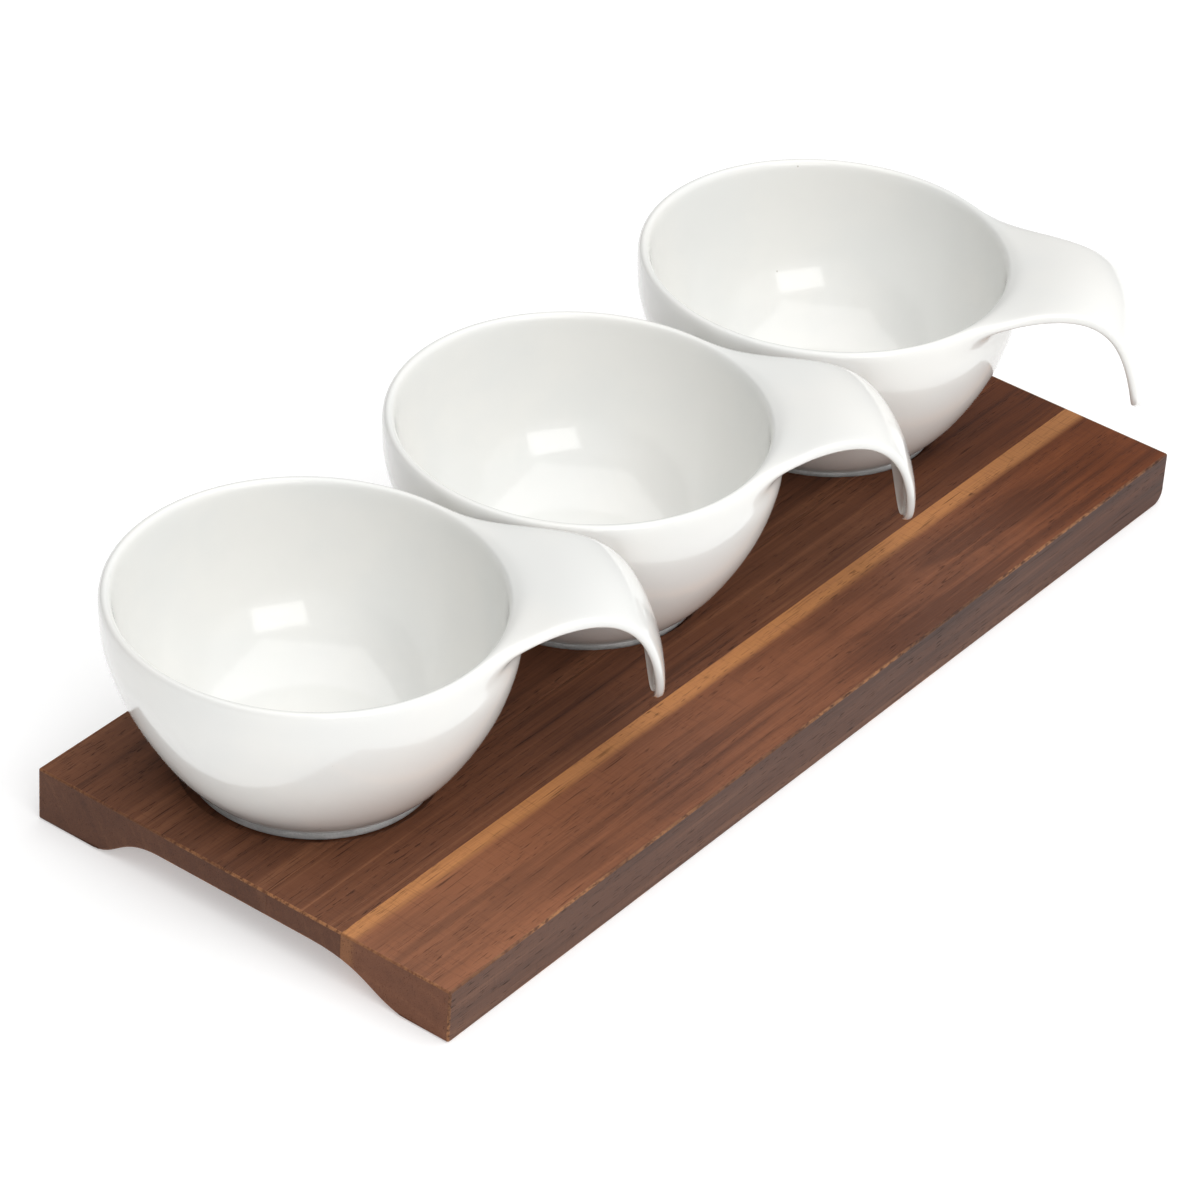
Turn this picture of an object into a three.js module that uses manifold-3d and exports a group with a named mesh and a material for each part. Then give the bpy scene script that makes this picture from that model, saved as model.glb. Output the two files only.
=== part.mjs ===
// A chip and dip server: three porcelain bowls with curled handles, standing in shallow round
// recesses along an acacia board that is edge-glued from staves.
//
// Units are millimetres and +Z is up. The origin is the middle of the board's underside, X runs
// along the board and Y across it. The bowls stand nearer the +Y edge, and their handles reach
// over the -Y edge's half of the board.

import * as THREE from 'three';
import { mergeVertices } from 'three/addons/utils/BufferGeometryUtils.js';
import Module from 'manifold-3d';

// ---- Driving dimensions: the board ----
const boardLength = 362;
const boardWidth = 152;
const boardThickness = 18;
const leftToeRound = 1; // round under the left end
const rightToeRound = 4.5; // round under the right end
const frontStaveWidth = 39;
const middleStaveWidth = 27;

// Finger grips hollowed under both ends, leaving a thin web between two feet.
const gripDepth = 17; // how far a grip reaches in from the end
const gripWebThickness = 8.3;
const gripCoveRound = 6; // round where a grip ends under the board
const frontFootWidth = 12; // flat foot beside the -Y edge
const frontSlopeWidth = 38; // S-shaped slope from that foot up to the web
const backSlopeWidth = 27;
const backFootWidth = 19;
const slopeSteepest = 0.42; // how far along a slope it is steepest, from its foot

// ---- Driving dimensions: where the bowls stand ----
const bowlPitch = 126;
const bowlRowOffset = 21; // the row of bowls lies this far towards the +Y edge
const recessRadius = 38.8;
const recessDepth = 2.5;
const restGap = 0.1; // clearance kept under a foot

// ---- Driving dimensions: one bowl, measured from the bottom of its foot ----
const bowlHeight = 60.9;
const rimRadius = 60.2;
const lipRadius = 56.4;
const footRadius = 36.4;
const footRingWidth = 4;
const footRingHeight = 3.4;
const underHollow = 1.8; // the base inside the foot ring is raised this much
const floorHeight = 7.2;
const floorRadius = 26;
const rimLean = -2.3; // the rim's centre sits this far from the foot's, away from the handle
const lipLean = -1.6;
const bodySides = 48;

// The handle: a broad strap that leaves the rim, arches over and curls down to a narrow tip.
const handleRoot = [47.1, 56.6]; // distance from the bowl's axis, height
const handleLift = [79.4, 65.8];
const handleShoulder = [98, 69];
const handleTip = [99.3, 19.8];
const handleHalfWidths = [38.9, 24.7, 20.6, 18.4, 17.4, 12.4, 6.5, 1.6];
const handleHalfWidthAt = [0, 0.2, 0.4, 0.6, 0.8, 0.92, 0.98, 1];
const handleRootThickness = 3.9;
const handleTipThickness = 2.9;
const handleSides = 12;
const handleSteps = 22;

// Each bowl stands a little off the middle of its recess and is turned by hand.
const bowls = [
  { name: 'bowl_left', recessAt: -bowlPitch, offCentre: [1.7, 0.2], turn: -43.5 },
  { name: 'bowl_middle', recessAt: 0, offCentre: [0, -0.6], turn: -43.5 },
  { name: 'bowl_right', recessAt: bowlPitch, offCentre: [-0.5, -0.4], turn: -60.6 },
];

// ---- Materials ----
const porcelain = new THREE.MeshStandardMaterial({ color: 0xf1f1ec, roughness: 0.12, metalness: 0 });
const woodFront = new THREE.MeshStandardMaterial({ color: 0x7d4a30, roughness: 0.45, metalness: 0 });
const woodMiddle = new THREE.MeshStandardMaterial({ color: 0x633a29, roughness: 0.45, metalness: 0 });
const woodBack = new THREE.MeshStandardMaterial({ color: 0x6a3d2a, roughness: 0.45, metalness: 0 });

// ---- Solids ----
const wasm = await Module();
wasm.setup();

// Turns a closed three.js geometry into a solid, dropping the flat triangles at a lathe's poles.
function solid(geometry) {
  const bare = geometry.clone();
  bare.deleteAttribute('normal');
  bare.deleteAttribute('uv');
  const merged = mergeVertices(bare, 1e-3);
  const index = Array.from(merged.index.array);
  const triangles = [];
  for (let i = 0; i < index.length; i += 3) {
    const [a, b, c] = index.slice(i, i + 3);
    if (a !== b && b !== c && c !== a) triangles.push(a, b, c);
  }
  return new wasm.Manifold(new wasm.Mesh({
    numProp: 3,
    vertProperties: new Float32Array(merged.attributes.position.array),
    triVerts: new Uint32Array(triangles),
  }));
}

// Gives a solid's surface back as a geometry.
function surface(manifold) {
  const mesh = manifold.getMesh();
  const geometry = new THREE.BufferGeometry();
  geometry.setAttribute('position', new THREE.BufferAttribute(mesh.vertProperties, 3));
  geometry.setIndex(new THREE.BufferAttribute(mesh.triVerts, 1));
  geometry.computeVertexNormals();
  return geometry;
}

function namedMesh(name, manifold, material) {
  const mesh = new THREE.Mesh(surface(manifold), material);
  mesh.name = name;
  return mesh;
}

function boxSolid(sizeX, sizeY, sizeZ, x, y, z) {
  return solid(new THREE.BoxGeometry(sizeX, sizeY, sizeZ).translate(x, y, z));
}

// ---- The board ----
function boardBlank() {
  const halfLength = boardLength / 2;
  const side = new THREE.Shape();
  side.moveTo(halfLength, boardThickness);
  side.lineTo(-halfLength, boardThickness);
  side.absarc(-halfLength + leftToeRound, leftToeRound, leftToeRound, Math.PI, 1.5 * Math.PI);
  side.absarc(halfLength - rightToeRound, rightToeRound, rightToeRound, -0.5 * Math.PI, 0);
  const blank = new THREE.ExtrudeGeometry(side, { depth: boardWidth, curveSegments: 6, bevelEnabled: false });
  return solid(blank.translate(0, 0, -boardWidth / 2).rotateX(Math.PI / 2));
}

// The space under one end: the arch seen from the end, cut off inside the board by a cove.
function gripHollow(end) {
  const frontEdge = -boardWidth / 2;
  const height = boardThickness - gripWebThickness;
  const below = -5;
  const frontFoot = frontEdge + frontFootWidth;
  const frontSteep = frontFoot + frontSlopeWidth * slopeSteepest;
  const backFoot = -frontEdge - backFootWidth;
  const backSteep = backFoot - backSlopeWidth * slopeSteepest;
  const arch = new THREE.Shape();
  arch.moveTo(frontFoot, below);
  arch.lineTo(frontFoot, 0);
  arch.bezierCurveTo(frontSteep, 0, frontSteep, height, frontFoot + frontSlopeWidth, height);
  arch.lineTo(backFoot - backSlopeWidth, height);
  arch.bezierCurveTo(backSteep, height, backSteep, 0, backFoot, 0);
  arch.lineTo(backFoot, below);
  const length = 2 * gripDepth;
  const tunnel = new THREE.ExtrudeGeometry(arch, { depth: length, curveSegments: 14, bevelEnabled: false });
  tunnel.translate(0, 0, -length / 2).rotateY(Math.PI / 2).rotateX(Math.PI / 2);
  const cove = new THREE.Shape();
  cove.moveTo(-gripDepth, below);
  cove.lineTo(gripDepth, below);
  cove.lineTo(gripDepth, height - gripCoveRound);
  cove.absarc(gripDepth - gripCoveRound, height - gripCoveRound, gripCoveRound, 0, Math.PI / 2);
  cove.lineTo(-gripDepth + gripCoveRound, height);
  cove.absarc(-gripDepth + gripCoveRound, height - gripCoveRound, gripCoveRound, Math.PI / 2, Math.PI);
  const limit = new THREE.ExtrudeGeometry(cove, { depth: boardWidth, curveSegments: 5, bevelEnabled: false });
  limit.translate(0, 0, -boardWidth / 2).rotateX(Math.PI / 2);
  return solid(tunnel).intersect(solid(limit)).translate([end * boardLength / 2, 0, 0]);
}

function recess(x) {
  const height = 2 * recessDepth;
  const cylinder = new THREE.CylinderGeometry(recessRadius, recessRadius, height, bodySides);
  return solid(cylinder.rotateX(Math.PI / 2).translate(x, bowlRowOffset, boardThickness));
}

function boardStaves() {
  let board = boardBlank();
  for (const end of [-1, 1]) board = board.subtract(gripHollow(end));
  for (const { recessAt } of bowls) board = board.subtract(recess(recessAt));
  const frontEdge = -boardWidth / 2;
  const staves = [
    { name: 'board_stave_front', width: frontStaveWidth, material: woodFront },
    { name: 'board_stave_middle', width: middleStaveWidth, material: woodMiddle },
    { name: 'board_stave_back', width: boardWidth - frontStaveWidth - middleStaveWidth, material: woodBack },
  ];
  let start = frontEdge;
  return staves.map(({ name, width, material }) => {
    const slab = boxSolid(2 * boardLength, width, 4 * boardThickness, 0, start + width / 2, 0);
    start += width;
    return namedMesh(name, board.intersect(slab), material);
  });
}

// ---- One bowl ----
// A lathed shape whose rings drift sideways as they rise, so that the rim leans off the foot.
function leaningLathe(profile, lean) {
  const lathe = new THREE.LatheGeometry(profile, bodySides).rotateX(Math.PI / 2);
  const position = lathe.attributes.position;
  for (let i = 0; i < position.count; i += 1) {
    const rise = Math.max(position.getZ(i), 0) / bowlHeight;
    position.setX(i, position.getX(i) + lean * rise * rise);
  }
  return solid(lathe);
}

function bowlOutside() {
  const ringInside = footRadius - footRingWidth;
  const rimThickness = rimRadius - lipRadius;
  const belly = new THREE.SplineCurve([
    new THREE.Vector2(footRadius + 0.8, footRingHeight + 0.8),
    new THREE.Vector2(41.9, 8.2),
    new THREE.Vector2(47.8, 16.6),
    new THREE.Vector2(55.2, 30.8),
    new THREE.Vector2(59.6, 45),
    new THREE.Vector2(rimRadius, bowlHeight - rimThickness / 2),
  ]);
  const profile = [
    new THREE.Vector2(0, underHollow),
    new THREE.Vector2(ringInside - 1, underHollow),
    new THREE.Vector2(ringInside, 0),
    new THREE.Vector2(footRadius - 0.6, 0),
    new THREE.Vector2(footRadius, 0.6),
    new THREE.Vector2(footRadius, footRingHeight - 0.4),
    new THREE.Vector2(footRadius - 0.5, footRingHeight),
    ...belly.getPoints(11),
    new THREE.Vector2(rimRadius - rimThickness * 0.15, bowlHeight - rimThickness * 0.15),
    new THREE.Vector2(rimRadius - rimThickness / 2, bowlHeight),
    new THREE.Vector2(0, bowlHeight),
  ];
  return leaningLathe(profile, rimLean);
}

function bowlInside() {
  const wall = new THREE.SplineCurve([
    new THREE.Vector2(floorRadius, floorHeight),
    new THREE.Vector2(39, 13),
    new THREE.Vector2(48, 25),
    new THREE.Vector2(53.6, 39),
    new THREE.Vector2(lipRadius - 0.7, bowlHeight - 6),
    new THREE.Vector2(lipRadius, bowlHeight - 1.2),
  ]);
  const profile = [
    new THREE.Vector2(0, floorHeight),
    ...wall.getPoints(9),
    new THREE.Vector2(lipRadius + 1.2, bowlHeight + 0.2),
    new THREE.Vector2(lipRadius + 1.2, bowlHeight + 12),
    new THREE.Vector2(0, bowlHeight + 12),
  ];
  return leaningLathe(profile, lipLean);
}

// The handle is a cylinder's mesh drawn out along the handle's curve: its round section becomes
// a flat one with rounded edges, wide at the root and narrow at the tip.
function handle() {
  const inPlane = ([reach, height]) => new THREE.Vector3(reach, 0, height);
  const path = new THREE.CubicBezierCurve3(...[handleRoot, handleLift, handleShoulder, handleTip].map(inPlane));
  const halfWidth = new THREE.SplineCurve(
    handleHalfWidthAt.map((at, i) => new THREE.Vector2(at, handleHalfWidths[i])),
  );
  const widths = halfWidth.getPoints(120);
  const halfWidthAt = (along) => {
    const next = widths.findIndex((point) => point.x >= along);
    return widths[Math.max(next, 0)].y;
  };
  const edgeFlatness = 0.55; // below 1 squares the section up
  const squared = (value) => Math.sign(value) * Math.abs(value) ** edgeFlatness;
  const strap = new THREE.CylinderGeometry(1, 1, 1, handleSides, handleSteps);
  const position = strap.attributes.position;
  for (let i = 0; i < position.count; i += 1) {
    const along = 0.5 - position.getY(i);
    const centre = path.getPoint(along);
    const tangent = path.getTangent(along);
    const thickness = THREE.MathUtils.lerp(handleRootThickness, handleTipThickness, along);
    const across = squared(position.getX(i)) * halfWidthAt(along);
    const outward = squared(position.getZ(i)) * thickness / 2;
    position.setXYZ(
      i,
      centre.x - tangent.z * outward,
      across,
      centre.z + tangent.x * outward,
    );
  }
  return solid(strap);
}

function bowlSolid() {
  return bowlOutside().add(handle()).subtract(bowlInside());
}

// ---- The whole server ----
const server = new THREE.Group();
server.add(...boardStaves());

const oneBowl = bowlSolid();
for (const { name, recessAt, offCentre, turn } of bowls) {
  const bowl = namedMesh(name, oneBowl, porcelain);
  const [alongBoard, acrossBoard] = offCentre;
  const floor = boardThickness - recessDepth + restGap;
  bowl.position.set(recessAt + alongBoard, bowlRowOffset + acrossBoard, floor);
  bowl.rotation.z = THREE.MathUtils.degToRad(turn);
  server.add(bowl);
}

export default server;
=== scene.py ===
"""Chip and dip server: three porcelain bowls with curled handles on a board of acacia staves.

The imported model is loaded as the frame. Each bowl and each stave is made again here with finer
surfaces, where the frame has it. Lengths are metres, in the frame's own axes: X along the board,
Y across it, Z up from the table.
"""

import math

import bmesh
import bpy
from bpy.props import FloatProperty, FloatVectorProperty, PointerProperty
from mathutils import Matrix, Vector
from mathutils.geometry import interpolate_bezier


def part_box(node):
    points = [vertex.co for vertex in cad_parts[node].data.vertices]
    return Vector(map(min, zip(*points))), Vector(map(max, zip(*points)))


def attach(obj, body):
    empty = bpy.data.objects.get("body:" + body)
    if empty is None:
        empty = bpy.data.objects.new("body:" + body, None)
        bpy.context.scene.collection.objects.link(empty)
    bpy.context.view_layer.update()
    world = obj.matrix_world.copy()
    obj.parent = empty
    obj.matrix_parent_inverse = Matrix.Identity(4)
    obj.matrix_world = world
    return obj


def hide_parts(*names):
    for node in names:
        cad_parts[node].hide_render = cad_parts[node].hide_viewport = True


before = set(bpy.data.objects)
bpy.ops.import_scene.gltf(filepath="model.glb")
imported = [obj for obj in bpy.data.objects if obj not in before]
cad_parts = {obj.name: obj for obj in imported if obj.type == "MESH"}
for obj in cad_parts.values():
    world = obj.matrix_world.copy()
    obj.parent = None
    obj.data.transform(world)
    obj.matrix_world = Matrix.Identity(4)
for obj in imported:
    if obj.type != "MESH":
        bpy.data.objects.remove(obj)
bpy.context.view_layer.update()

bl_info = {
    "name": "Chip and Dip Server",
    "version": (1, 0, 0),
    "blender": (4, 5, 0),
    "location": "View3D > Sidebar > Dip Server",
    "description": "Three handled porcelain bowls on a board of acacia staves",
    "category": "Add Mesh",
}

MM = 0.001
BOWLS = ("bowl_left", "bowl_middle", "bowl_right")
STAVES = ("board_stave_front", "board_stave_middle", "board_stave_back")


# ---- Sizes and colours ----


def length(name, description, default):
    return FloatProperty(name=name, description=description, default=default, min=0.0, unit="LENGTH")


def colour(name, description, default):
    return FloatVectorProperty(
        name=name, description=description, default=default, size=3, min=0.0, max=1.0, subtype="COLOR"
    )


class BowlSettings(bpy.types.PropertyGroup):
    """Sizes of one bowl, measured from the bottom of its foot, and its colours."""

    height: length("Height", "From the bottom of the foot to the top of the rim", 60.9 * MM)
    rim_radius: length("Rim radius", "Outside radius under the rim", 60.0 * MM)
    rim_thickness: length("Rim thickness", "Thickness of the rounded rim", 3.9 * MM)
    foot_radius: length("Foot radius", "Outside radius of the foot ring", 36.4 * MM)
    foot_height: length("Foot height", "Height of the bare foot ring under the glaze", 2.9 * MM)
    floor_height: length("Floor height", "Height of the floor inside the bowl", 7.2 * MM)
    lean: length("Lean", "How far the rim sits off the foot, away from the handle", 2.3 * MM)
    handle_crown: length("Handle crown", "How far the handle's side edges droop", 2.0 * MM)
    glaze: colour("Glaze", "Colour of the glazed porcelain", (0.835, 0.83, 0.80))
    bare_foot: colour("Bare foot", "Colour of the unglazed foot ring", (0.68, 0.68, 0.67))


class BoardSettings(bpy.types.PropertyGroup):
    """Softness of the board's edges and the colours of its wood."""

    arris: length("Arris", "How far the board's outer edges are rounded off", 0.65 * MM)
    recess_arris: length("Recess arris", "How far the rims of the recesses are rounded off", 0.3 * MM)
    joint_arris: length("Joint arris", "Width of the fine line at a glued joint", 0.08 * MM)
    heartwood: colour("Heartwood", "Middle colour of the dark wood", (0.150, 0.054, 0.025))
    dark_grain: colour("Dark grain", "Colour of the dark bands", (0.050, 0.017, 0.009))
    light_grain: colour("Light grain", "Colour of the light bands", (0.275, 0.112, 0.053))
    sapwood: colour("Sapwood", "Colour of the pale stripe", (0.52, 0.225, 0.078))
    # The edge colour is partly real rubbed wear and partly a painted highlight along the edges.
    worn_and_highlit: colour("Worn edge", "Colour where the edges have rubbed pale", (0.33, 0.145, 0.060))


class StageSettings(bpy.types.PropertyGroup):
    """Camera, lights and floor."""

    lens: FloatProperty(
        name="Lens", description="Focal length of the camera", default=159.5, min=1.0, unit="CAMERA"
    )
    distance: length("Distance", "From the camera to the middle of the board's top", 1.6054)
    brightness: FloatProperty(
        name="Brightness", description="Factor on the strength of every light", default=1.0, min=0.0
    )
    floor: colour("Floor", "Colour of the floor", (0.72, 0.72, 0.72))


# ---- Shader building ----


class Value:
    """A socket in a finish. Arithmetic on it adds Math nodes."""

    def __init__(self, finish, socket):
        self.finish = finish
        self.socket = socket

    def math(self, operation, *numbers):
        return self.finish.node("ShaderNodeMath", {"operation": operation}, dict(enumerate(numbers)))

    def __add__(self, other):
        return self.math("ADD", self, other)

    def __sub__(self, other):
        return self.math("SUBTRACT", self, other)

    def __mul__(self, other):
        return self.math("MULTIPLY", self, other)

    def __truediv__(self, other):
        return self.math("DIVIDE", self, other)

    def __radd__(self, other):
        return self.math("ADD", other, self)

    def __rsub__(self, other):
        return self.math("SUBTRACT", other, self)

    def __rmul__(self, other):
        return self.math("MULTIPLY", other, self)

    def __abs__(self):
        return self.math("ABSOLUTE", self)

    def maximum(self, other):
        return self.math("MAXIMUM", self, other)

    def ramp(self, low, high):
        """0 at low and 1 at high, easing in between; low may be the greater."""
        if low > high:
            return 1 - self.ramp(high, low)
        settings = {"interpolation_type": "SMOOTHSTEP"}
        return self.finish.node("ShaderNodeMapRange", settings, {"Value": self, 1: low, 2: high})


class Finish:
    """A material with a Principled shader and the nodes that feed it."""

    def __init__(self, name, **constants):
        self.material = bpy.data.materials.new(name)
        self.material.use_nodes = True
        self.tree = self.material.node_tree
        self.shader = self.tree.nodes["Principled BSDF"]
        for socket, value in constants.items():
            self.shader.inputs[socket.replace("_", " ")].default_value = value

    def node(self, kind, settings=None, inputs=None, output=None):
        """Adds a node, sets it up, fills its inputs with values or links, and gives an output."""
        node = self.tree.nodes.new(kind)
        for key, value in (settings or {}).items():
            setattr(node, key, value)
        for key, value in (inputs or {}).items():
            if isinstance(key, int):
                socket = node.inputs[key]
            else:
                socket = next(s for s in node.inputs if s.name == key and s.enabled)
            if isinstance(value, Value):
                self.tree.links.new(value.socket, socket)
            else:
                socket.default_value = value
        if output is not None:
            return Value(self, node.outputs[output])
        return Value(self, next(s for s in node.outputs if s.enabled))

    def place(self):
        """Object coordinates in millimetres."""
        metres = self.node("ShaderNodeTexCoord", output="Object")
        return self.node("ShaderNodeVectorMath", {"operation": "SCALE"}, {0: metres, "Scale": 1000.0})

    def split(self, vector):
        node = self.node("ShaderNodeSeparateXYZ", inputs={0: vector}).socket.node
        return [Value(self, socket) for socket in node.outputs]

    def stretched(self, place, grain, shift=(0.0, 0.0, 0.0)):
        """The place squeezed so that one unit is as long as grain says along each axis."""
        scale = tuple(1.0 / size for size in grain)
        return self.node("ShaderNodeMapping", inputs={"Vector": place, "Scale": scale, "Location": shift})

    def noise(self, place, grain, detail=2.0, roughness=0.5, shift=(0.0, 0.0, 0.0)):
        inputs = {
            "Vector": self.stretched(place, grain, shift),
            "Scale": 1.0,
            "Detail": detail,
            "Roughness": roughness,
        }
        return self.node("ShaderNodeTexNoise", inputs=inputs)

    def mix(self, factor, first, second, how="MIX"):
        """Mixes two colours."""
        settings = {"data_type": "RGBA", "blend_type": how}
        inputs = {"Factor": factor, "A": opaque(first), "B": opaque(second)}
        return self.node("ShaderNodeMix", settings, inputs)

    def bump(self, height, distance, strength=1.0):
        inputs = {"Height": height, "Distance": distance, "Strength": strength}
        return self.node("ShaderNodeBump", inputs=inputs)

    def feed(self, **links):
        for socket, value in links.items():
            self.tree.links.new(value.socket, self.shader.inputs[socket.replace("_", " ")])


def opaque(shade):
    return shade if isinstance(shade, Value) else (*shade, 1.0)


def tinted(shade, factor):
    return tuple(min(channel * factor, 1.0) for channel in shade)


# ---- Porcelain ----


def glazed_porcelain(settings):
    """Warm white under a clear glaze: faintly uneven colour, a wavy surface and a few specks."""
    finish = Finish("glazed_porcelain", Roughness=0.1, IOR=1.5, Coat_Weight=0.35, Coat_Roughness=0.03)
    place = finish.place()
    cloud = finish.noise(place, (38.0, 38.0, 30.0), detail=3.0)
    glaze = tuple(settings.glaze)
    cool = (glaze[0] * 0.965, glaze[1] * 0.975, glaze[2] * 0.985)
    body = finish.mix(cloud.ramp(0.35, 0.65), glaze, cool)
    cell = {"feature": "F1"}
    cell_inputs = {"Vector": finish.stretched(place, (11.0, 11.0, 11.0)), "Scale": 1.0}
    speck_distance = finish.node("ShaderNodeTexVoronoi", cell, cell_inputs, output="Distance")
    speck_pick = finish.split(finish.node("ShaderNodeTexVoronoi", cell, cell_inputs, output="Color"))[0]
    speck = speck_distance.ramp(0.034, 0.02) * speck_pick.ramp(0.70, 0.74)
    shade = finish.mix(speck * 0.45, body, (0.30, 0.24, 0.17))
    waves = finish.noise(place, (16.0, 16.0, 16.0), detail=1.0)
    peel = finish.noise(place, (1.9, 1.9, 1.9), detail=1.0)
    surface = waves * 0.85 + peel * 0.05
    finish.feed(
        Base_Color=shade,
        Roughness=0.085 + finish.noise(place, (9.0, 9.0, 9.0)) * 0.07,
        Normal=finish.bump(surface, 0.25 * MM, 0.5),
    )
    return finish.material


def bare_porcelain(settings):
    """The dry foot ring: matt, slightly grainy, with rubbed grey patches."""
    finish = Finish("bare_porcelain", Roughness=0.6)
    place = finish.place()
    grain = finish.noise(place, (0.5, 0.5, 0.5), detail=3.0)
    patches = finish.noise(place, (7.0, 7.0, 2.0), detail=2.0)
    bare = tuple(settings.bare_foot)
    shade = finish.mix(patches.ramp(0.4, 0.62), bare, tinted(bare, 0.78))
    finish.feed(
        Base_Color=finish.mix(grain.ramp(0.45, 0.7) * 0.3, shade, tinted(bare, 0.55)),
        Roughness=0.5 + grain * 0.25,
        Normal=finish.bump(grain, 0.05 * MM, 0.6),
    )
    return finish.material


# ---- Acacia ----


def acacia(settings, name, pith, band, warmth, figure, sapwood_stripe=False, seed=0.0):
    """Solid wood whose grain runs along X, so that end grain and long grain meet at the edges.

    pith is the Y and Z of the middle of the tree in millimetres, band the usual width of a
    growth band, warmth a factor on the colours, and figure how much the bands wander.
    """
    finish = Finish(f"acacia_{name}", IOR=1.48, Specular_IOR_Level=0.28)
    place = finish.place()
    along, across, up = finish.split(place)
    shift = (seed, 0.31 * seed, 0.57 * seed)

    # Growth bands: a distance from the pith, bent by slow noise, run through noise of its own.
    drift = finish.noise(place, (130.0, 26.0, 26.0), detail=2.0, shift=shift) - 0.5
    flame = finish.noise(place, (70.0, 15.0, 15.0), detail=1.0, shift=shift) - 0.5
    right_end = along.ramp(20.0, 170.0)
    bend = drift * (2.2 * figure * band) + flame * right_end * (4.0 * figure * band)
    offset = {0: 0.0, 1: across - pith[0] + bend, 2: up - pith[1] + bend * 0.5}
    ray = finish.node("ShaderNodeCombineXYZ", inputs=offset)
    from_pith = finish.node("ShaderNodeVectorMath", {"operation": "LENGTH"}, {0: ray}, output="Value")
    ring_settings = {"noise_dimensions": "1D"}
    ring_inputs = {"W": from_pith / band + seed, "Scale": 1.0, "Detail": 4.0, "Roughness": 0.62}
    rings = finish.node("ShaderNodeTexNoise", ring_settings, ring_inputs)
    streaks = finish.noise(place, (120.0, 2.2, 2.2), detail=4.0, roughness=0.65, shift=shift)
    fibres = finish.noise(place, (26.0, 0.34, 0.34), detail=3.0, roughness=0.6, shift=shift)
    clouds = finish.noise(place, (90.0, 30.0, 22.0), detail=2.0, shift=shift)

    heart = tinted(settings.heartwood, warmth)
    dark = tinted(settings.dark_grain, warmth)
    light = tinted(settings.light_grain, warmth)
    tone = rings * 0.36 + streaks * 0.30 + clouds * 0.34
    shade = finish.mix(tone.ramp(0.50, 0.36) * 0.75, heart, dark)
    shade = finish.mix(tone.ramp(0.50, 0.66) * 0.85, shade, light)
    shade = finish.mix(fibres.ramp(0.50, 0.72) * 0.32, shade, dark)
    shade = finish.mix(fibres.ramp(0.46, 0.26) * 0.20, shade, light)

    # Towards the right end the wood is more orange, and towards the left it is painted a little paler, a
    # painted sheen of the white surroundings.
    orange_end = along.ramp(80.0, 175.0)
    shade = finish.mix(orange_end * 0.85, shade, (0.80, 0.55, 0.26), how="MULTIPLY")
    shade = finish.mix(along.ramp(-40.0, -160.0) * 0.22 * figure, shade, light)

    # A pale stripe of sapwood, crisp at the glued joint and soft towards the front.
    if sapwood_stripe:
        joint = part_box(STAVES[0])[1].y / MM
        width = 5.6 + along * 0.0075
        wander = (drift * 3.0) + (streaks - 0.5) * 2.4
        into_stripe = across - joint + width + wander
        stripe = into_stripe.ramp(-1.7, 1.5)
        pale = finish.mix(fibres.ramp(0.40, 0.75) * 0.55, settings.sapwood, light)
        pale = finish.mix(streaks.ramp(0.48, 0.70) * 0.5, pale, tinted(settings.sapwood, 0.6))
        shade = finish.mix(stripe * 0.92, shade, pale)

    # Pores: short dark dashes along the grain, in drifts.
    pore = finish.noise(place, (5.0, 0.40, 0.40), detail=1.0, shift=shift)
    long_pore = finish.noise(place, (20.0, 0.50, 0.50), detail=1.0, shift=shift)
    drifts = finish.noise(place, (60.0, 7.0, 7.0), detail=2.0, shift=shift)
    pores = (pore.ramp(0.60, 0.70) * drifts.ramp(0.38, 0.62)).maximum(
        long_pore.ramp(0.63, 0.73) * drifts.ramp(0.62, 0.40)
    )
    shade = finish.mix(pores * 0.72, shade, tinted(dark, 0.6))

    # Fine ripples across the grain, left by the plane and by the wavy fibre.
    ripple = finish.noise(place, (0.55, 7.5, 7.5), detail=2.0, shift=shift)
    shade = finish.mix(ripple.ramp(0.52, 0.74) * 0.22, shade, dark)

    # End grain drinks more oil: darker, with the bands still showing.
    half_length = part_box(STAVES[0])[1].x / MM
    end = abs(along).ramp(half_length - 0.75, half_length - 0.1)
    speckle = finish.noise(place, (8.0, 0.42, 0.42), detail=2.0, shift=shift)
    end_shade = finish.mix(speckle.ramp(0.40, 0.66) * 0.5, tinted(heart, 0.62), tinted(dark, 0.8))
    shade = finish.mix(end * 0.66, shade, end_shade)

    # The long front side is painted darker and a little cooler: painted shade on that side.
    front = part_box(STAVES[0])[0].y / MM
    front_side_shade = across.ramp(front + 0.9, front + 0.2)
    shade = finish.mix(front_side_shade * 0.8, shade, (0.26, 0.29, 0.34), how="MULTIPLY")

    # Rubbed edges, partly a painted highlight: the arris faces carry an attribute for the pale edge,
    # broken up by noise.
    wear_and_highlight = finish.node("ShaderNodeAttribute", {"attribute_name": "wear_and_highlight"}, output="Fac")
    ragged = finish.noise(place, (2.6, 1.1, 1.1), detail=4.0, roughness=0.7, shift=shift)
    stretches = finish.noise(place, (45.0, 45.0, 45.0), detail=2.0, shift=shift)
    rubbed_and_highlit = wear_and_highlight * ragged.ramp(0.36, 0.60) * (0.25 + 0.75 * stretches.ramp(0.42, 0.58))
    shade = finish.mix(rubbed_and_highlit, shade, settings.worn_and_highlit)

    relief = fibres * -0.30 - pores * 0.9 + ripple * -0.12 + streaks * 0.2
    polish = 0.42 + fibres * 0.12 + pores * 0.2 + end * 0.1
    finish.feed(
        Base_Color=shade,
        Roughness=polish,
        Normal=finish.bump(relief, 0.10 * MM, 0.55),
    )
    return finish.material


# ---- Mesh helpers ----


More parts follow.
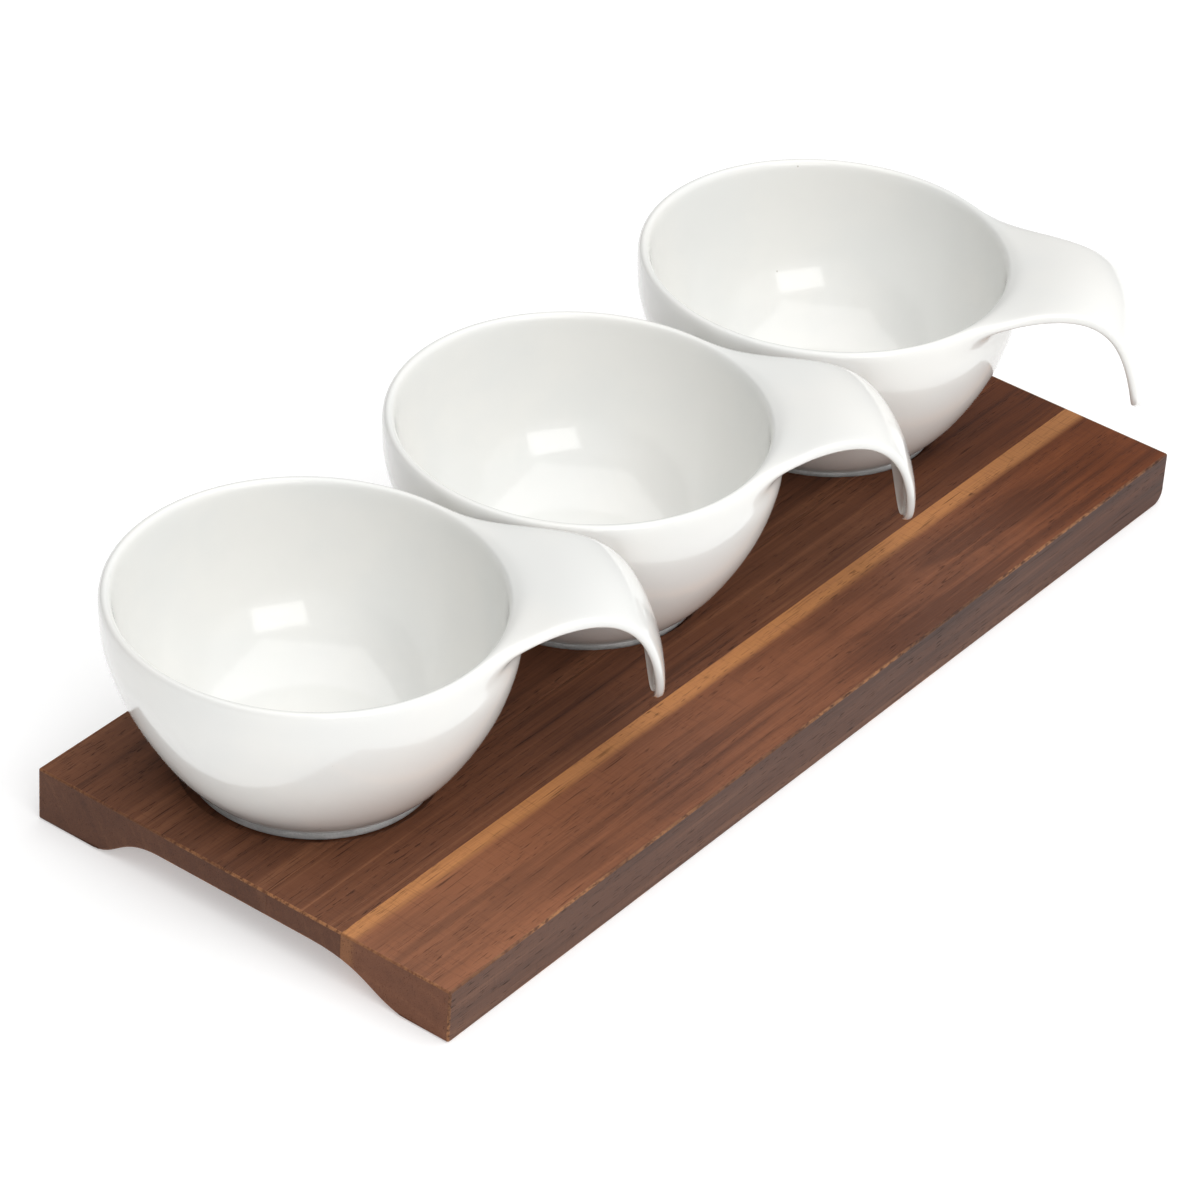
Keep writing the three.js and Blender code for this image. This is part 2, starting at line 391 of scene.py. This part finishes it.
def new_piece(name, body, replaced, mesh_maker, materials):
    """Makes an object from a bmesh maker and ties it to the frame."""
    mesh = bpy.data.meshes.new(name)
    shape = bmesh.new()
    mesh_maker(shape)
    shape.to_mesh(mesh)
    shape.free()
    for material in materials:
        mesh.materials.append(material)
    piece = bpy.data.objects.new(name, mesh)
    bpy.context.scene.collection.objects.link(piece)
    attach(piece, body)
    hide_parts(replaced)
    return piece


def through(points, steps):
    """Points along a smooth curve through the given ones, ends included, steps to each stretch."""
    ends = [points[0] * 2 - points[1], *points, points[-1] * 2 - points[-2]]
    curve = []
    for before, start, stop, after in zip(ends, ends[1:], ends[2:], ends[3:]):
        first_handle = start + (stop - before) / 6
        second_handle = stop - (after - start) / 6
        curve += interpolate_bezier(start, first_handle, second_handle, stop, steps + 1)[:-1]
    return [*curve, points[-1]]


def profile_point(radius, height):
    return Vector((radius, 0.0, height))


# ---- Bowls ----

BOWL_SIDES = 36
HANDLE_COLUMNS = 8  # faces across the handle's root
HANDLE_HALF_ANGLE = math.radians(180.0 * HANDLE_COLUMNS / BOWL_SIDES)
HANDLE_LOW = 52.8 * MM  # the handle grows from the wall above this height
RIM_LOW = 58.6 * MM  # the rounded rim starts at this height
HANDLE_ROWS = (0.0, 0.4, 0.8, 1.0)  # how far up the handle's skin each ring of its root goes
HANDLE_CURVE = [
    Vector((reach * MM, 0.0, height * MM))
    for reach, height in ((47.1, 58.3), (79.4, 64.9), (98.7, 68.4), (100.0, 19.8))
]
HANDLE_HALF_WIDTHS = (
    # the fraction of the length, and half the width there in millimetres
    (0.0, 38.8),
    (0.05, 33.8),
    (0.1, 29.8),
    (0.2, 25.4),
    (0.4, 21.5),
    (0.6, 19.6),
    (0.8, 18.4),
    (0.92, 13.4),
    (0.98, 7.0),
    (1.0, 1.4),
)
HANDLE_STATIONS = (
    *(0.045, 0.10, 0.18, 0.27, 0.36, 0.45, 0.54),
    *(0.63, 0.72, 0.81, 0.89, 0.945, 0.98, 1.0),
)
BLENDED_UP_TO = 0.10  # the stations up to here are smoothed into the wall
BLENDING_ROUNDS = 3
BLENDING_STRENGTH = 0.4
ROOT_THICKNESS = 4.0 * MM
TIP_THICKNESS = 2.7 * MM
EDGE_INSET = 0.9 * MM  # how far the handle's top and bottom stop short of its rounded edges
FULL_DROOP_AT = 0.55  # how far along the handle its side edges droop fully


def bowl_outline(settings):
    """The wall's section, from under the middle of the base out over the rim to the floor."""
    foot, foot_top = settings.foot_radius, settings.foot_height
    rim, top = settings.rim_radius, settings.height
    bead = settings.rim_thickness / 2
    lip = rim - settings.rim_thickness
    floor = settings.floor_height
    underside = [
        profile_point(0.0, 1.8 * MM),
        profile_point(14 * MM, 1.8 * MM),
        profile_point(foot - 6 * MM, 1.8 * MM),
        profile_point(foot - 4.4 * MM, 1.5 * MM),
        profile_point(foot - 3.6 * MM, 0.2 * MM),
        profile_point(foot - 2.8 * MM, 0.0),
        profile_point(foot - 0.8 * MM, 0.0),
        profile_point(foot, 0.3 * MM),
        profile_point(foot, 1.4 * MM),
        profile_point(foot, foot_top - 0.3 * MM),
        profile_point(foot + 0.05 * MM, foot_top),
    ]
    belly = through(
        [
            profile_point(foot + 0.75 * MM, foot_top + 0.25 * MM),
            profile_point(41.9 * MM, 8.2 * MM),
            profile_point(47.9 * MM, 16.6 * MM),
            profile_point(55.3 * MM, 30.8 * MM),
            profile_point(59.6 * MM, 45.0 * MM),
            profile_point(rim, HANDLE_LOW),
        ],
        2,
    )
    bead_angles = (0.0, 52.0, 90.0, 128.0, 172.0)
    rim_round = [
        profile_point(
            rim - bead + bead * math.cos(math.radians(angle)),
            RIM_LOW + (top + 0.1 * MM - RIM_LOW) * math.sin(math.radians(angle)),
        )
        for angle in bead_angles
    ]
    inside = through(
        [
            profile_point(lip - 0.3 * MM, top - 5.4 * MM),
            profile_point(53.8 * MM, 41.0 * MM),
            profile_point(48.2 * MM, 25.2 * MM),
            profile_point(38.2 * MM, 12.6 * MM),
            profile_point(27.0 * MM, floor + 0.35 * MM),
        ],
        2,
    )
    floor_points = [profile_point(radius * MM, floor) for radius in (19.0, 10.0, 4.0, 0.0)]
    return underside + belly + rim_round + inside + floor_points


def half_width(at):
    """Half the handle's width at a fraction of its length, from root to tip."""
    stops = HANDLE_HALF_WIDTHS
    for (start, width), (stop, next_width) in zip(stops, stops[1:]):
        if at <= stop:
            part = (at - start) / (stop - start)
            return (width + (next_width - width) * part) * MM
    return stops[-1][1] * MM


def smooth_half_width(at):
    """The same with its corners rounded off by averaging over a short stretch."""
    reach = 0.05 * min(1.0, 8 * (1 - at)) + 0.001
    samples = [half_width(min(max(at + reach * step, 0.0), 1.0)) for step in (-1, -0.5, 0, 0.5, 1)]
    return sum(samples) / len(samples)


def middle_line(at):
    """The point on the handle's middle line at a fraction of its length: a Bezier curve."""
    a, b, c, d = HANDLE_CURVE
    left = 1 - at
    return a * left**3 + b * 3 * left**2 * at + c * 3 * left * at**2 + d * at**3


def on_handle(at, across, upper, crown):
    """A point on the handle's skin: at runs root to tip, across -1 to 1, upper bottom 0 to top 1."""
    a, b, c, d = HANDLE_CURVE
    left = 1 - at
    centre = middle_line(at)
    along = (b - a) * left**2 + (c - b) * 2 * left * at + (d - c) * at**2
    outward = Vector((-along.z, 0.0, along.x)).normalized()
    thickness = ROOT_THICKNESS + (TIP_THICKNESS - ROOT_THICKNESS) * at
    easing = min(at / FULL_DROOP_AT, 1.0) ** 1.5 * (1 - 0.5 * at**10)  # halved again at the tip
    droop = crown * across**2 * easing
    point = centre + outward * (thickness * (upper - 0.5) - droop)
    rounding = EDGE_INSET * (2 * upper - 1) ** 2 * abs(across) ** 8
    point.y = smooth_half_width(at) * across - math.copysign(rounding, across)
    return point


def root_fraction(reach):
    """The fraction of the handle's length at which its middle line is at this reach."""
    low, high = 0.0, 0.5
    for _ in range(30):
        at = (low + high) / 2
        low, high = (at, high) if middle_line(at).x < reach else (low, at)
    return low


def grow_handle(shape, crown):
    """Extrudes a patch of the wall and rim, station by station, along the handle's curve."""
    across_layer = shape.verts.layers.float.new("across")
    upper_layer = shape.verts.layers.float.new("upper")
    root_layer = shape.verts.layers.float.new("root")

    def in_root(face):
        middle = face.calc_center_median()
        outside = face.normal.x * middle.x + face.normal.y * middle.y > 0
        turn = abs(math.atan2(middle.y, middle.x))
        return outside and turn < HANDLE_HALF_ANGLE and middle.z > HANDLE_LOW

    shape.normal_update()
    root = [face for face in shape.faces if in_root(face)]
    wanted = HANDLE_COLUMNS * (len(HANDLE_ROWS) - 1)
    if len(root) != wanted:
        raise RuntimeError(f"the handle's root has {len(root)} faces, not {wanted}")
    corners = {vertex for face in root for vertex in face.verts}
    heights = sorted({round(vertex.co.z, 6) for vertex in corners})
    for vertex in corners:
        turn = math.atan2(vertex.co.y, vertex.co.x)
        vertex[across_layer] = math.sin(turn) / math.sin(HANDLE_HALF_ANGLE)
        vertex[upper_layer] = HANDLE_ROWS[heights.index(round(vertex.co.z, 6))]
        vertex[root_layer] = root_fraction(vertex.co.x)
    blended = {vertex for vertex in corners if vertex[upper_layer] < 1}
    for station in HANDLE_STATIONS:
        grown = bmesh.ops.extrude_face_region(shape, geom=root)["geom"]
        bmesh.ops.delete(shape, geom=[face for face in root if face.is_valid], context="FACES")
        root = [item for item in grown if isinstance(item, bmesh.types.BMFace)]
        for vertex in (item for item in grown if isinstance(item, bmesh.types.BMVert)):
            start = vertex[root_layer]
            at = start + (1 - start) * station
            vertex.co = on_handle(at, vertex[across_layer], vertex[upper_layer], crown)
            if station <= BLENDED_UP_TO:
                blended.add(vertex)
    blended = [vertex for vertex in blended if vertex.is_valid]
    for _ in range(BLENDING_ROUNDS):
        bmesh.ops.smooth_vert(
            shape,
            verts=blended,
            factor=BLENDING_STRENGTH,
            use_axis_x=True,
            use_axis_y=True,
            use_axis_z=True,
        )


def bowl_maker(settings, foot_centre, turn):
    """Gives the function that spins the bowl, grows its handle, leans it and puts it in place."""

    def make(shape):
        fullness = 3 / (2 + math.cos(2 * math.pi / BOWL_SIDES))  # what subdividing will take off
        outline = bowl_outline(settings)
        points = [shape.verts.new((p.x * fullness, 0.0, p.z)) for p in outline]
        edges = [shape.edges.new(pair) for pair in zip(points, points[1:])]
        bmesh.ops.spin(
            shape,
            geom=points + edges,
            axis=(0, 0, 1),
            cent=(0, 0, 0),
            angle=2 * math.pi,
            steps=BOWL_SIDES,
            use_merge=True,
        )
        bmesh.ops.remove_doubles(shape, verts=shape.verts, dist=0.01 * MM)
        bmesh.ops.recalc_face_normals(shape, faces=shape.faces)
        grow_handle(shape, settings.handle_crown)
        bmesh.ops.recalc_face_normals(shape, faces=shape.faces)
        for vertex in shape.verts:
            if vertex.co.xy.length < settings.rim_radius + 2 * MM:  # not the handle's far part
                rise = min(vertex.co.z / settings.height, 1.0)
                vertex.co.x -= settings.lean * rise * rise
        for face in shape.faces:
            middle = face.calc_center_median()
            ring = math.hypot(middle.x, middle.y)
            face.smooth = True
            bare = settings.foot_radius - 4.6 * MM < ring < settings.foot_radius + 0.2 * MM
            face.material_index = int(bare and middle.z < settings.foot_height)
        turning = Matrix.Rotation(turn, 3, "Z")
        bmesh.ops.rotate(shape, verts=shape.verts, cent=(0, 0, 0), matrix=turning)
        bmesh.ops.translate(shape, verts=shape.verts, vec=foot_centre)

    return make


def standing_place(node):
    """Where a bowl's foot stands in the frame, and which way its handle points."""
    corners = [vertex.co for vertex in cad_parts[node].data.vertices]
    bottom = min(corner.z for corner in corners)
    foot = [corner for corner in corners if corner.z < bottom + 0.1 * MM]
    centre = Vector(
        (
            (min(corner.x for corner in foot) + max(corner.x for corner in foot)) / 2,
            (min(corner.y for corner in foot) + max(corner.y for corner in foot)) / 2,
            bottom,
        )
    )
    far = max((corner - centre).xy.length for corner in corners)
    tip = Vector((0.0, 0.0))
    for corner in corners:
        if (corner - centre).xy.length > far - 1 * MM:
            tip += (corner - centre).xy.normalized()
    return centre, math.atan2(tip.y, tip.x)


def subdivide(piece, levels):
    modifier = piece.modifiers.new("Subdivision", "SUBSURF")
    modifier.levels = levels
    modifier.render_levels = levels


# ---- Board ----


def stave_maker(settings, node):
    """Gives the function that copies a stave out of the frame and softens its edges."""
    low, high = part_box(node)
    board_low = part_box(STAVES[0])[0]
    board_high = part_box(STAVES[-1])[1]
    tolerance = 0.05 * MM

    def joint_edge(edge):
        """True for an edge on a face that is glued to the next stave."""
        for side in (low.y, high.y):
            glued = tolerance < side - board_low.y and tolerance < board_high.y - side
            if glued and all(abs(vertex.co.y - side) < tolerance for vertex in edge.verts):
                return True
        return False

    def recess_edge(edge):
        """True for an edge round the top or the bottom of a recess."""
        return all(
            vertex.co.z > board_high.z - 3 * MM
            and abs(vertex.co.x) < board_high.x - 5 * MM
            and vertex.co.y > board_low.y + 5 * MM
            and vertex.co.y < board_high.y - 5 * MM
            for vertex in edge.verts
        )

    def make(shape):
        shape.from_mesh(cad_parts[node].data)
        bmesh.ops.remove_doubles(shape, verts=shape.verts, dist=0.002 * MM)
        bmesh.ops.dissolve_limit(
            shape, angle_limit=math.radians(0.5), verts=shape.verts, edges=shape.edges
        )
        # The arris faces get a value for the pale edge colour: rubbed wear, and partly a painted
        # highlight.
        wear_and_highlight = shape.loops.layers.float_color.new("wear_and_highlight")
        for face in shape.faces:
            for loop in face.loops:
                loop[wear_and_highlight] = (0.0, 0.0, 0.0, 1.0)
        sharp_angle = math.radians(38)
        passes = (
            (lambda e: not joint_edge(e) and not recess_edge(e), settings.arris, 3, 1.0),
            (recess_edge, settings.recess_arris, 2, 0.15),
            (joint_edge, settings.joint_arris, 1, 0.0),
        )
        for wanted, width, segments, wear_and_highlight_amount in passes:
            sharp = [
                edge
                for edge in shape.edges
                if len(edge.link_faces) == 2 and edge.calc_face_angle() > sharp_angle and wanted(edge)
            ]
            if not sharp:
                continue
            made = bmesh.ops.bevel(
                shape,
                geom=sharp,
                offset=width,
                offset_type="OFFSET",
                affect="EDGES",
                segments=segments,
                profile=0.5,
                material=-1,
                clamp_overlap=width != settings.arris,
            )
            for face in made["faces"]:
                for loop in face.loops:
                    loop[wear_and_highlight] = (wear_and_highlight_amount, wear_and_highlight_amount, wear_and_highlight_amount, 1.0)
        # Rounding pushes the toes' sharp corners outwards, so they are put back on the table.
        for vertex in shape.verts:
            vertex.co.z = max(vertex.co.z, low.z)
        shape.normal_update()
        for face in shape.faces:
            face.smooth = max(abs(axis) for axis in face.normal) < 0.9999
        for edge in shape.edges:
            edge.smooth = len(edge.link_faces) != 2 or edge.calc_face_angle() < math.radians(35)

    return make


# ---- Stage ----

CAMERA_HEADING = math.radians(35.48)  # from +X towards +Y
CAMERA_DIP = math.radians(34.90)
CAMERA_ROLL = math.radians(3.99)
CAMERA_AIM = (-5.7 * MM, 8.2 * MM)  # X and Y of the spot it looks at on the board's top
LIT_MIDDLE = (0.0, 0.02, 0.04)  # where the softboxes point
OVERHEAD_WATTS = 16.5
FRONT_WATTS = 4.2
FLOOR_GLOW = 0.36  # keeps the shadow on the paper faint
BRIGHT_SIDE = Vector((0.15, -0.78, 0.60)).normalized()
DIM_SKY, BRIGHT_SKY = 0.2, 0.96


def look_along(heading, dip, roll):
    """A rotation that looks along a heading from +X, down by dip, with the picture rolled."""
    reach = math.cos(dip)
    forward = Vector((math.cos(heading) * reach, math.sin(heading) * reach, -math.sin(dip)))
    level = Vector((math.sin(heading), -math.cos(heading), 0.0))
    upward = level.cross(forward)
    right = level * math.cos(roll) + upward * math.sin(roll)
    top = right.cross(forward)
    return forward, Matrix((right, top, -forward)).transposed()


def add_camera(settings):
    data = bpy.data.cameras.new("camera")
    data.lens = settings.lens
    data.sensor_width = 36.0
    data.clip_end = 20.0
    camera = bpy.data.objects.new("camera", data)
    bpy.context.scene.collection.objects.link(camera)
    target = Vector((*CAMERA_AIM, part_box(STAVES[0])[1].z))
    forward, turn = look_along(CAMERA_HEADING, CAMERA_DIP, CAMERA_ROLL)
    camera.matrix_world = Matrix.Translation(target - forward * settings.distance) @ turn.to_4x4()
    bpy.context.scene.camera = camera


def add_softbox(name, place, target, width, height, power):
    data = bpy.data.lights.new(name, "AREA")
    data.shape = "RECTANGLE"
    data.size = width
    data.size_y = height
    data.energy = power
    box = bpy.data.objects.new(name, data)
    bpy.context.scene.collection.objects.link(box)
    aim = (Vector(target) - Vector(place)).to_track_quat("-Z", "Y")
    box.matrix_world = Matrix.Translation(place) @ aim.to_matrix().to_4x4()


def add_floor(settings):
    mesh = bpy.data.meshes.new("floor")
    shape = bmesh.new()
    bmesh.ops.create_grid(shape, x_segments=1, y_segments=1, size=12.0)
    shape.to_mesh(mesh)
    shape.free()
    finish = Finish("floor_paper", Roughness=0.9)
    finish.shader.inputs["Specular IOR Level"].default_value = 0.1
    place = finish.place()
    cloud = finish.noise(place, (400.0, 400.0, 400.0))
    paper = tuple(settings.floor)
    finish.feed(Base_Color=finish.mix(cloud, paper, tinted(paper, 1.01)))
    finish.shader.inputs["Emission Color"].default_value = (1.0, 1.0, 1.0, 1.0)
    finish.shader.inputs["Emission Strength"].default_value = FLOOR_GLOW
    mesh.materials.append(finish.material)
    floor = bpy.data.objects.new("floor", mesh)
    bpy.context.scene.collection.objects.link(floor)


def add_surroundings(brightness):
    """A studio dome, bright overhead and in front and dim behind, so the wood keeps its colour."""
    world = bpy.data.worlds.new("surroundings")
    world.use_nodes = True
    tree = world.node_tree
    background = tree.nodes["Background"]
    background.inputs["Strength"].default_value = brightness
    direction = tree.nodes.new("ShaderNodeTexCoord").outputs["Generated"]
    towards = tree.nodes.new("ShaderNodeVectorMath")
    towards.operation = "DOT_PRODUCT"
    towards.inputs[1].default_value = BRIGHT_SIDE
    tree.links.new(direction, towards.inputs[0])
    shade = tree.nodes.new("ShaderNodeMapRange")
    shade.interpolation_type = "SMOOTHSTEP"
    shade.inputs["From Min"].default_value = -0.1
    shade.inputs["From Max"].default_value = 0.7
    shade.inputs["To Min"].default_value = DIM_SKY
    shade.inputs["To Max"].default_value = BRIGHT_SKY
    tree.links.new(towards.outputs["Value"], shade.inputs["Value"])
    tree.links.new(shade.outputs["Result"], background.inputs["Color"])
    bpy.context.scene.world = world


# ---- Operators ----


class DIPSERVER_OT_bowls(bpy.types.Operator):
    """Make the three porcelain bowls with their curled handles"""

    bl_idname = "dipserver.bowls"
    bl_label = "Make Bowls"

    def execute(self, context):
        settings = context.scene.dip_bowls
        materials = (glazed_porcelain(settings), bare_porcelain(settings))
        for node in BOWLS:
            centre, turn = standing_place(node)
            maker = bowl_maker(settings, centre, turn)
            piece = new_piece(f"{node}_porcelain", node, node, maker, materials)
            subdivide(piece, 2)
        return {"FINISHED"}


class DIPSERVER_OT_board(bpy.types.Operator):
    """Make the board's three glued staves"""

    bl_idname = "dipserver.board"
    bl_label = "Make Board"

    def execute(self, context):
        settings = context.scene.dip_board
        woods = {
            "board_stave_front": dict(
                pith=(-40.0, -150.0), band=7.5, warmth=1.38, figure=1.0, sapwood_stripe=True, seed=3.7
            ),
            "board_stave_middle": dict(
                pith=(140.0, -60.0), band=3.6, warmth=0.98, figure=0.35, seed=11.3
            ),
            "board_stave_back": dict(
                pith=(210.0, -90.0), band=5.0, warmth=0.90, figure=0.5, seed=23.9
            ),
        }
        for node, grain in woods.items():
            part = node.removeprefix("board_stave_")
            wood = acacia(settings, part, **grain)
            maker = stave_maker(settings, node)
            new_piece(f"{node}_acacia", "board", node, maker, (wood,))
        return {"FINISHED"}


class DIPSERVER_OT_stage(bpy.types.Operator):
    """Set up the floor, the soft studio lights and the camera"""

    bl_idname = "dipserver.stage"
    bl_label = "Set Up Stage"

    def execute(self, context):
        settings = context.scene.dip_stage
        context.scene.view_settings.view_transform = "Standard"
        add_camera(settings)
        add_floor(settings)
        add_surroundings(settings.brightness)
        overhead_power = OVERHEAD_WATTS * settings.brightness
        front_power = FRONT_WATTS * settings.brightness
        add_softbox("overhead_softbox", (0.05, -0.05, 1.7), LIT_MIDDLE, 2.2, 2.2, overhead_power)
        add_softbox("front_softbox", (-0.66, -1.25, 0.98), LIT_MIDDLE, 1.0, 0.5, front_power)
        return {"FINISHED"}


class DIPSERVER_PT_panel(bpy.types.Panel):
    """Lists the pieces of the server and the sizes and colours that can be changed"""

    bl_idname = "DIPSERVER_PT_panel"
    bl_label = "Chip and Dip Server"
    bl_space_type = "VIEW_3D"
    bl_region_type = "UI"
    bl_category = "Dip Server"

    def draw(self, context):
        groups = (
            (context.scene.dip_bowls, DIPSERVER_OT_bowls),
            (context.scene.dip_board, DIPSERVER_OT_board),
            (context.scene.dip_stage, DIPSERVER_OT_stage),
        )
        for settings, operator in groups:
            box = self.layout.box()
            for name in settings.__annotations__:
                box.prop(settings, name)
            box.operator(operator.bl_idname)


CLASSES = (
    BowlSettings,
    BoardSettings,
    StageSettings,
    DIPSERVER_OT_bowls,
    DIPSERVER_OT_board,
    DIPSERVER_OT_stage,
    DIPSERVER_PT_panel,
)


def register():
    for cls in CLASSES:
        bpy.utils.register_class(cls)
    bpy.types.Scene.dip_bowls = PointerProperty(type=BowlSettings)
    bpy.types.Scene.dip_board = PointerProperty(type=BoardSettings)
    bpy.types.Scene.dip_stage = PointerProperty(type=StageSettings)


def unregister():
    del bpy.types.Scene.dip_stage
    del bpy.types.Scene.dip_board
    del bpy.types.Scene.dip_bowls
    for cls in reversed(CLASSES):
        bpy.utils.unregister_class(cls)


def main():
    register()
    bpy.ops.dipserver.stage()
    bpy.ops.dipserver.board()
    bpy.ops.dipserver.bowls()


if __name__ == "__main__":
    main()
